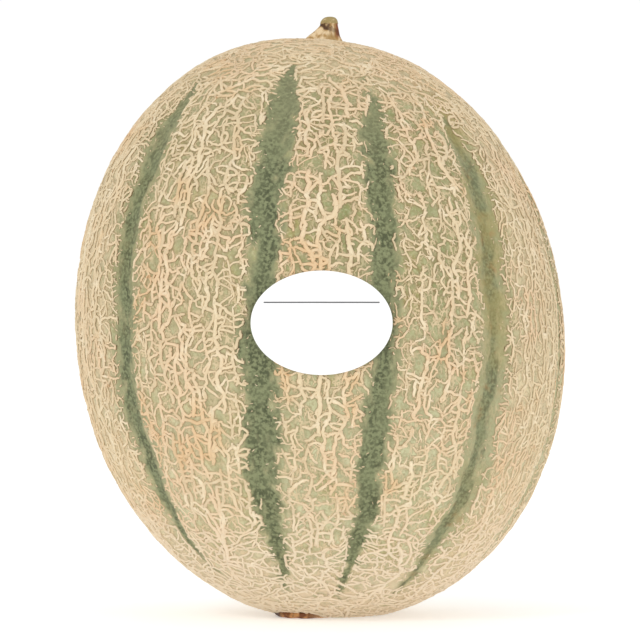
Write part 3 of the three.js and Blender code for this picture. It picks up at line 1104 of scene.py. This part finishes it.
# %% Helpers for finishes
def paint(red, green, blue):
    """A screen colour as light values."""
    shares = [v / 255 for v in (red, green, blue)]
    return (*[s / 12.92 if s <= 0.04045 else ((s + 0.055) / 1.055) ** 2.4 for s in shares], 1)


def feed(tree, made, inputs):
    """Links or sets the inputs of a node, by name or number."""
    for name, value in inputs.items():
        if isinstance(value, bpy.types.NodeSocket):
            tree.links.new(value, made.inputs[name])
        else:
            made.inputs[name].default_value = value
    return made


def add(tree, kind, inputs=None, **settings):
    """A new shader node with its settings and inputs."""
    made = tree.nodes.new("ShaderNode" + kind)
    for name, value in settings.items():
        setattr(made, name, value)
    return feed(tree, made, inputs or {})


def mixed(tree, share, first, second):
    """A colour between two: share 0 gives the first and 1 the second."""
    return add(tree, "Mix", {0: share, 6: first, 7: second}, data_type="RGBA").outputs[2]


def reckoned(tree, operation, first, second):
    """Two numbers added, subtracted, multiplied or divided."""
    return add(tree, "Math", {0: first, 1: second}, operation=operation).outputs[0]


def times(tree, first, second):
    """The product of two shares, kept from 0 to 1."""
    return add(tree, "Math", {0: first, 1: second}, operation="MULTIPLY", use_clamp=True).outputs[0]


def ramped(tree, value, low, high, to_low=0.0, to_high=1.0):
    """A value taken smoothly from one range to another, and held at its ends."""
    sockets = {"Value": value, "From Min": low, "From Max": high, "To Min": to_low, "To Max": to_high}
    return add(tree, "MapRange", sockets, interpolation_type="SMOOTHSTEP").outputs[0]


def new_group(name, inputs, outputs):
    """An empty node group, its input node and its output node."""
    group = bpy.data.node_groups.new(name, "ShaderNodeTree")
    for sockets, way in ((inputs, "INPUT"), (outputs, "OUTPUT")):
        for socket, kind in sockets.items():
            group.interface.new_socket(name=socket, in_out=way, socket_type="NodeSocket" + kind)
    return group, group.nodes.new("NodeGroupInput"), group.nodes.new("NodeGroupOutput")


# %% Two shared effects
def build_patches():
    """Clouds with soft edges. The lower the low value, the more of the surface they cover."""
    group, given, out = new_group(
        "patches", {"Vector": "Vector", "Size": "Float", "Low": "Float", "High": "Float"}, {"Mask": "Float"}
    )
    scale = reckoned(group, "DIVIDE", 1.0, given.outputs["Size"])
    cloud = add(group, "TexNoise", {"Vector": given.outputs["Vector"], "Scale": scale, "Detail": 3.0})
    mask = ramped(group, cloud.outputs[0], given.outputs["Low"], given.outputs["High"])
    group.links.new(mask, out.inputs["Mask"])
    return group


def build_grain():
    """A fine roughness that only the light shows."""
    group, given, out = new_group(
        "grain", {"Vector": "Vector", "Size": "Float", "Depth": "Float"}, {"Normal": "Vector"}
    )
    scale = reckoned(group, "DIVIDE", 1.0, given.outputs["Size"])
    cloud = add(group, "TexNoise", {"Vector": given.outputs["Vector"], "Scale": scale, "Detail": 4.0})
    bump = add(group, "Bump", {"Height": cloud.outputs[0], "Distance": given.outputs["Depth"]})
    group.links.new(bump.outputs[0], out.inputs["Normal"])
    return group


patches_group = build_patches()
grain_group = build_grain()


def patches(tree, place, size, low, high):
    """A mask of patches about size mm across."""
    sockets = {"Vector": place, "Size": size * MM, "Low": low, "High": high}
    return add(tree, "Group", sockets, node_tree=patches_group).outputs["Mask"]


def grain(tree, place, size, depth):
    """A normal for grain about size mm across and depth mm deep."""
    sockets = {"Vector": place, "Size": size * MM, "Depth": depth * MM}
    return add(tree, "Group", sockets, node_tree=grain_group).outputs["Normal"]


def new_finish(name):
    """A material, its node tree, its shader and its object coordinates."""
    material = bpy.data.materials.new(name)
    material.use_nodes = True
    tree = material.node_tree
    shader = tree.nodes["Principled BSDF"]
    place = add(tree, "TexCoord").outputs["Object"]
    return material, tree, shader, place


def attribute(tree, name):
    """A value that was kept on the vertices."""
    return add(tree, "Attribute", attribute_name=name).outputs["Fac"]


def stretched_upwards(tree, place):
    """The place, with patterns drawn out to twice their height."""
    return add(tree, "Mapping", {"Vector": place, "Scale": (1, 1, 0.5)}).outputs[0]


print(len(bpy.data.node_groups), "shared effects")


# %% [markdown]
# ### The rind
# Between the cords the rind is a greyed green that pales towards the blossom end, with olive patches and
# tan shoulders near the stem. Beside each cord it is painted browner as shade. Cork threads too fine to
# model are drawn on it, from the walls of a cell pattern that is bent by noise, and they have borders of
# painted brown shade like the cords. The grooves are dark and mottled with grey. The one on the right is
# warmer, with yellow and rust in it.

# %% The rind's finish
RIND_GREEN = paint(163, 163, 114)
RIND_LEAF = paint(136, 142, 88)
RIND_PALE = paint(208, 205, 165)
RIND_TAN = paint(228, 206, 166)
RIND_OLIVE = paint(164, 156, 90)
# brown for specks in the rind, and for painted shade beside the cords and the drawn threads
RIND_BROWN_AND_SHADE = paint(136, 108, 68)
RIND_COVER = paint(224, 203, 172)
RIND_THREAD = paint(222, 200, 160)
GROOVE_HALO = paint(152, 151, 110)
GROOVE_DARK = paint(74, 80, 48)
GROOVE_GREY = paint(132, 138, 98)
GROOVE_WARM = paint(164, 146, 78)
GROOVE_RUST = paint(170, 116, 56)
THREAD_CELLS = 520.0  # cells to a metre
THREAD_BEND_CELLS = 700.0
THREAD_BEND = 0.0022
EDGE_CELLS = 300.0
EDGE_RAGGEDNESS = 2.4


def rind_finish():
    material, tree, shader, place = new_finish("rind")
    height = add(tree, "SeparateXYZ", {0: place}).outputs[2]
    high_up = ramped(tree, height, 0.05, 0.13)
    leaf = times(tree, ramped(tree, high_up, 0, 1, 0.45, 0.85), patches(tree, place, 13, 0.42, 0.66))
    colour = mixed(tree, leaf, RIND_GREEN, RIND_LEAF)
    low_down = ramped(tree, height, 0.11, 0.03)
    pale = times(tree, low_down, patches(tree, place, 26, 0.1, 0.5))
    colour = mixed(tree, pale, colour, RIND_PALE)
    olive = times(tree, patches(tree, place, 12, 0.48, 0.68), 0.65)
    colour = mixed(tree, olive, colour, RIND_OLIVE)
    tan = times(tree, attribute(tree, "tan"), patches(tree, place, 6, 0.15, 0.5))
    colour = mixed(tree, tan, colour, RIND_TAN)
    colour = mixed(tree, times(tree, patches(tree, place, 2.2, 0.45, 0.7), 0.3), colour, RIND_PALE)
    colour = mixed(tree, times(tree, patches(tree, place, 0.7, 0.48, 0.66), 0.35), colour, RIND_PALE)
    colour = mixed(tree, times(tree, patches(tree, place, 0.9, 0.52, 0.42), 0.3), colour, RIND_BROWN_AND_SHADE)
    # Painted shade: the rind is browner beside each cord, less so low down and on tan ground.
    beside = ramped(tree, attribute(tree, "near_net"), 0.5, 1.0)
    beside = times(tree, beside, ramped(tree, height, 0.03, 0.1, 0.15, 0.45))
    beside = times(tree, beside, ramped(tree, attribute(tree, "tan"), 0, 1, 1.0, 0.35))
    colour = mixed(tree, beside, colour, RIND_BROWN_AND_SHADE)
    threads, thread_shade = hairline_net(tree, place)
    # Painted shade: a brown border along each drawn thread.
    colour = mixed(tree, times(tree, thread_shade, 0.4), colour, RIND_BROWN_AND_SHADE)
    colour = mixed(tree, times(tree, threads, 0.8), colour, RIND_THREAD)
    colour = mixed(tree, mottled_cover(tree, place), colour, RIND_COVER)
    colour = mixed(tree, groove_share(tree, place, "groove", -0.2, 0.45), colour, GROOVE_HALO)
    core = groove_share(tree, place, "core", 0.0, 0.7)
    core = times(tree, core, ramped(tree, height, 0.155, 0.125, 0.6, 1.0))
    colour = mixed(tree, core, colour, groove_colour(tree, place))
    warm = times(tree, attribute(tree, "warm"), patches(tree, place, 9, 0.35, 0.65))
    warm = times(tree, warm, ramped(tree, height, 0.05, 0.11, 0.12, 0.5))
    colour = mixed(tree, warm, colour, GROOVE_WARM)
    rusty = times(tree, attribute(tree, "warm"), patches(tree, place, 5, 0.55, 0.8))
    colour = mixed(tree, times(tree, rusty, 0.45), colour, GROOVE_RUST)
    roughened = grain(tree, place, 0.55, 0.22)
    feed(tree, shader, {"Base Color": colour, "Normal": roughened, "Roughness": 0.62})
    return material


def hairline_net(tree, place):
    """Masks of hair-fine cork threads between the cords, and of the painted brown shade that borders them."""
    bend = add(tree, "TexNoise", {"Vector": place, "Scale": THREAD_BEND_CELLS, "Detail": 2.0}).outputs[1]
    bend = add(tree, "VectorMath", {0: bend, 1: (THREAD_BEND,) * 3}, operation="MULTIPLY").outputs[0]
    bent = add(tree, "VectorMath", {0: stretched_upwards(tree, place), 1: bend}, operation="ADD").outputs[0]
    sockets = {"Vector": bent, "Scale": THREAD_CELLS}
    cells = add(tree, "TexVoronoi", sockets, feature="DISTANCE_TO_EDGE").outputs[0]
    shown = patches(tree, place, 4.5, 0.36, 0.56)
    threads = times(tree, ramped(tree, cells, 0.13, 0.05), shown)
    thread_shade = times(tree, ramped(tree, cells, 0.3, 0.12), shown)
    return threads, thread_shade


def mottled_cover(tree, place):
    """How far the cork has closed over the rind, at the blossom end."""
    return times(tree, attribute(tree, "cover"), patches(tree, place, 4, 0.2, 0.6))


def groove_share(tree, place, band, soft, full):
    """How strongly a groove shows, from a depth in a band where it begins to one where it is full."""
    sockets = {"Vector": stretched_upwards(tree, place), "Scale": EDGE_CELLS, "Detail": 5.0}
    uneven = add(tree, "TexNoise", sockets).outputs[0]
    shifted = reckoned(tree, "MULTIPLY", reckoned(tree, "SUBTRACT", uneven, 0.5), EDGE_RAGGEDNESS)
    inwards = attribute(tree, band)
    depth = reckoned(tree, "ADD", inwards, shifted)
    strength = ramped(tree, attribute(tree, "dark"), 0.2, 0.8) if band == "core" else attribute(tree, "dark")
    share = times(tree, ramped(tree, depth, soft, full), strength)
    return times(tree, share, ramped(tree, inwards, 0, 0.2, 0.0 if band == "core" else 0.5))


def groove_colour(tree, place):
    speck = mixed(tree, patches(tree, place, 1.0, 0.38, 0.64), GROOVE_DARK, GROOVE_GREY)
    faded = times(tree, patches(tree, stretched_upwards(tree, place), 4, 0.4, 0.62), 0.4)
    return mixed(tree, faded, speck, GROOVE_GREY)


# %% [markdown]
# ### The net
# Each cord's foot is painted brown as the shade where it meets the rind, and its top is left pale, which
# is what draws each cord so sharply. The crest value kept on the strips gives that. Some cords are greyer
# with age or flushed with orange, and near both ends of the fruit the painted shade at the feet is fainter.
# Low down the cork is painted lighter, as the light that the floor throws up.

# %% The net's finish
CORK_CREAM = paint(229, 209, 172)
CORK_PEACH = paint(231, 203, 166)
CORK_PALE = paint(238, 221, 188)
CORK_FLOOR_LIT = paint(242, 226, 202)
# painted shade at a cord's foot, and a fainter one near both ends of the fruit
CORK_FOOT_SHADE = paint(138, 110, 72)
CORK_FOOT_SHADE_FAINT = paint(206, 184, 148)
CORK_TAN = paint(212, 191, 153)
CORK_RUST = paint(184, 134, 84)
CORK_ORANGE = paint(222, 176, 120)


def cork_finish():
    material, tree, shader, place = new_finish("net_cork")
    colour = mixed(tree, patches(tree, place, 30, 0.42, 0.66), CORK_CREAM, CORK_PEACH)
    colour = mixed(tree, patches(tree, place, 5, 0.48, 0.7), colour, CORK_PALE)
    aged = times(tree, ramped(tree, attribute(tree, "tone"), 0.45, 0.95), 0.6)
    colour = mixed(tree, aged, colour, CORK_TAN)
    rusty = times(tree, patches(tree, place, 3.2, 0.68, 0.76), 0.6)
    colour = mixed(tree, rusty, colour, CORK_RUST)
    flushed = times(tree, patches(tree, stretched_upwards(tree, place), 11, 0.54, 0.7), 0.4)
    colour = mixed(tree, flushed, colour, CORK_ORANGE)
    level = add(tree, "SeparateXYZ", {0: place}).outputs[2]
    # Painted light: the cork is lighter towards the bottom, standing in for light thrown up by the floor.
    colour = mixed(tree, ramped(tree, level, 0.045, 0.008, 0.0, 0.75), colour, CORK_FLOOR_LIT)
    # Painted shade: each cord is brown at its foot, where it meets the rind, and fainter near both ends.
    foot_shade = ramped(tree, attribute(tree, "crest"), 0.18, 0.66, 1.0, 0.0)
    fainter_shade = reckoned(tree, "ADD", ramped(tree, level, 0.085, 0.03), ramped(tree, level, 0.14, 0.16, 0.0, 0.8))
    colour = mixed(tree, foot_shade, colour, mixed(tree, fainter_shade, CORK_FOOT_SHADE, CORK_FOOT_SHADE_FAINT))
    roughened = grain(tree, place, 0.3, 0.08)
    feed(tree, shader, {"Base Color": colour, "Normal": roughened, "Roughness": 0.8})
    return material


# %% [markdown]
# ### The stem
# The dry stub is pale tan with cream fibres that slant up it. It has an ochre hollow between two ribs, a
# red-brown streak on the right, a dark leaning ring where the vine tore and a greener cap above it, with
# patches of cream painted on the cap as its highlight. Each of these has its own place, so they are masks
# on height and on the distance to the right.

# %% The stem's finish
STEM_TAN = paint(180, 142, 86)
# cream for the fibres, and for the painted highlight on the cap
STEM_CREAM_AND_HIGHLIGHT = paint(236, 210, 168)
STEM_OCHRE = paint(166, 128, 62)
STEM_BROWN = paint(74, 42, 12)
STEM_RED = paint(134, 74, 44)
CUT_GREEN = paint(166, 146, 94)


def between(tree, value, start, full, still, end):
    """1 between two values, fading to 0 on both sides."""
    return times(tree, ramped(tree, value, start, full), ramped(tree, value, end, still))


def stem_finish():
    material, tree, shader, place = new_finish("dry_stem")
    parts = add(tree, "SeparateXYZ", {0: place}).outputs
    up = reckoned(tree, "SUBTRACT", parts[2], float(stem_foot[2]) * MM)
    right = reckoned(tree, "SUBTRACT", parts[0], float(stem_foot[0]) * MM)
    slant = {"Vector": place, "Rotation": (0, 0.45, 0), "Scale": (1, 1, 0.22)}
    slanted = add(tree, "Mapping", slant).outputs[0]
    colour = mixed(tree, patches(tree, slanted, 1.3, 0.36, 0.64), STEM_TAN, STEM_CREAM_AND_HIGHLIGHT)
    hollow = times(
        tree,
        between(tree, up, 0.0005, 0.0015, 0.0022, 0.0036),
        between(tree, right, -0.0012, 0, 0.0016, 0.0028),
    )
    colour = mixed(tree, times(tree, hollow, 0.8), colour, STEM_OCHRE)
    streak = times(tree, ramped(tree, right, 0.0016, 0.0027), ramped(tree, up, 0.0014, 0.0034))
    streak = times(tree, streak, patches(tree, slanted, 1.6, 0.3, 0.5))
    colour = mixed(tree, streak, colour, STEM_RED)
    leaning = reckoned(tree, "ADD", up, reckoned(tree, "MULTIPLY", right, 0.42))
    uneven = times(tree, patches(tree, place, 1.8, 0.3, 0.7), 0.0012)
    leaning = reckoned(tree, "ADD", leaning, uneven)
    ring = between(tree, leaning, 0.0046, 0.0054, 0.0061, 0.0067)
    ring = times(tree, ring, ramped(tree, right, -0.0005, 0.0012, 0.95, 0.5))
    colour = mixed(tree, ring, colour, STEM_BROWN)
    # Painted highlight: cream patches on the greener cap.
    cap = mixed(tree, patches(tree, place, 1.2, 0.54, 0.8), CUT_GREEN, STEM_CREAM_AND_HIGHLIGHT)
    colour = mixed(tree, ramped(tree, up, 0.0062, 0.0067), colour, cap)
    roughened = grain(tree, slanted, 0.5, 0.25)
    feed(tree, shader, {"Base Color": colour, "Normal": roughened, "Roughness": 0.75})
    return material


# %% [markdown]
# ### The scar
# The scar's cork is golden brown on the left and tan on the right, with dark flecks and a dark left edge.

# %% The scar's finish
SCAR_BROWN = paint(126, 72, 34)
SCAR_DARK = paint(70, 40, 22)
SCAR_GOLD = paint(206, 150, 92)
SCAR_TAN = paint(220, 180, 132)


def scar_finish():
    material, tree, shader, place = new_finish("scar_cork")
    across = add(tree, "SeparateXYZ", {0: place}).outputs[0]
    colour = mixed(tree, patches(tree, place, 2.4, 0.42, 0.6), SCAR_BROWN, SCAR_GOLD)
    colour = mixed(tree, ramped(tree, across, -0.005, 0.003), colour, SCAR_TAN)
    colour = mixed(tree, ramped(tree, across, -0.0105, -0.0128), colour, SCAR_DARK)
    colour = mixed(tree, times(tree, patches(tree, place, 0.7, 0.5, 0.7), 0.5), colour, SCAR_DARK)
    roughened = grain(tree, place, 0.8, 0.4)
    feed(tree, shader, {"Base Color": colour, "Normal": roughened, "Roughness": 0.6})
    return material


# %% [markdown]
# ### The label
# The paper is white and slightly glossy. The rule is a mask on the label's own flat map, so it follows
# the bend of the paper.

# %% The label's finish
PAPER_WHITE = paint(252, 252, 251)
PAPER_SHADE = paint(249, 249, 247)
RULE_GREY = paint(92, 92, 96)
RULE_HEIGHT = 93.1
RULE_THICK = 0.15
RULE_LEVEL = 0.5 + 0.5 * (RULE_HEIGHT - LABEL_MIDDLE[1]) / LABEL_HALF_HEIGHT
RULE_HALF = 0.5 * RULE_THICK / LABEL_HALF_HEIGHT
RULE_REACH = 0.41
RULE_END = 0.004


def paper_finish():
    material, tree, shader, place = new_finish("paper")
    flat = add(tree, "UVMap", uv_map="flat").outputs[0]
    parts = add(tree, "SeparateXYZ", {0: flat})
    off_level = reckoned(tree, "SUBTRACT", parts.outputs[1], RULE_LEVEL)
    off_level = add(tree, "Math", {0: off_level}, operation="ABSOLUTE").outputs[0]
    off_middle = reckoned(tree, "SUBTRACT", parts.outputs[0], 0.5)
    off_middle = add(tree, "Math", {0: off_middle}, operation="ABSOLUTE").outputs[0]
    rule = times(
        tree,
        ramped(tree, off_level, RULE_HALF * 1.8, RULE_HALF * 0.9),
        ramped(tree, off_middle, RULE_REACH, RULE_REACH - RULE_END),
    )
    white = mixed(tree, patches(tree, place, 8, 0.3, 0.7), PAPER_WHITE, PAPER_SHADE)
    colour = mixed(tree, rule, white, RULE_GREY)
    roughened = grain(tree, place, 0.25, 0.015)
    feed(tree, shader, {"Base Color": colour, "Normal": roughened, "Roughness": 0.45})
    return material


# %% [markdown]
# ## Put together
# Every piece rides on the imported model's one body, takes the place of the node that it refines, whose
# part is hidden, and gets its finish.

# %% Put the finishes on
def finish_with(piece, material, node):
    """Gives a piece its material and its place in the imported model."""
    piece.data.materials.clear()
    piece.data.materials.append(material)
    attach(piece, "root")
    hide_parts(node)


finish_with(rind, rind_finish(), "fruit")
cork = cork_finish()
for piece in net_pieces:
    finish_with(piece, cork, "fruit")
finish_with(stem, stem_finish(), "stem_stub")
finish_with(scar, scar_finish(), "blossom_scar")
finish_with(label, paper_finish(), "label")
print(len(bpy.data.materials), "finishes")

# %% [markdown]
# ## The studio
# The melon stands on a pale floor that runs far back into white, in soft light from all round, a little
# stronger from the upper left in front. The room itself gives the soft light, and two discs add the rest.

# %% The floor
FLOOR_RADIUS = 30
FLOOR_GLOW = 0.35
FLOOR_LIGHT = paint(243, 243, 243)
FLOOR_SHADE = paint(240, 240, 240)


def lay_floor():
    deselect()
    bpy.ops.mesh.primitive_circle_add(vertices=96, radius=FLOOR_RADIUS, fill_type="NGON")
    floor = bpy.context.object
    floor.name = "studio_floor"
    material, tree, shader, place = new_finish("studio_floor")
    pale = mixed(tree, patches(tree, place, 400, 0.3, 0.7), FLOOR_LIGHT, FLOOR_SHADE)
    feed(tree, shader, {"Base Color": pale, "Roughness": 0.9})
    feed(tree, shader, {"Emission Color": (1, 1, 1, 1), "Emission Strength": FLOOR_GLOW})
    floor.data.materials.append(material)


lay_floor()
print("a floor", 2 * FLOOR_RADIUS, "m across")

# %% The lights
LIT_POINT = (0, 0, 0.09)
ROOM_LIGHT = 0.82
ROOM_SEEN = 1.02


def light_from(name, place, size, watts):
    lamp = bpy.data.lights.new(name, "AREA")
    lamp.shape = "DISK"
    lamp.size = size
    lamp.energy = watts
    holder = bpy.data.objects.new(name, lamp)
    holder.location = place
    holder.rotation_euler = (Vector(LIT_POINT) - Vector(place)).to_track_quat("-Z", "Y").to_euler()
    holder.visible_camera = False
    bpy.context.scene.collection.objects.link(holder)


def light_studio():
    world = bpy.data.worlds.new("white_room")
    world.use_nodes = True
    air = world.node_tree.nodes["Background"]
    air.inputs["Color"].default_value = (1, 1, 1, 1)
    seen = add(world.node_tree, "LightPath").outputs["Is Camera Ray"]
    strength = ramped(world.node_tree, seen, 0, 1, ROOM_LIGHT, ROOM_SEEN)
    world.node_tree.links.new(strength, air.inputs["Strength"])
    bpy.context.scene.world = world
    light_from("key", (-1.6, -2.2, 1.9), 1.0, 15)
    light_from("fill", (1.9, -2.0, 0.9), 1.4, 8)
    bpy.context.scene.view_settings.view_transform = "Standard"


light_studio()
print(len(bpy.data.lights), "lamps")
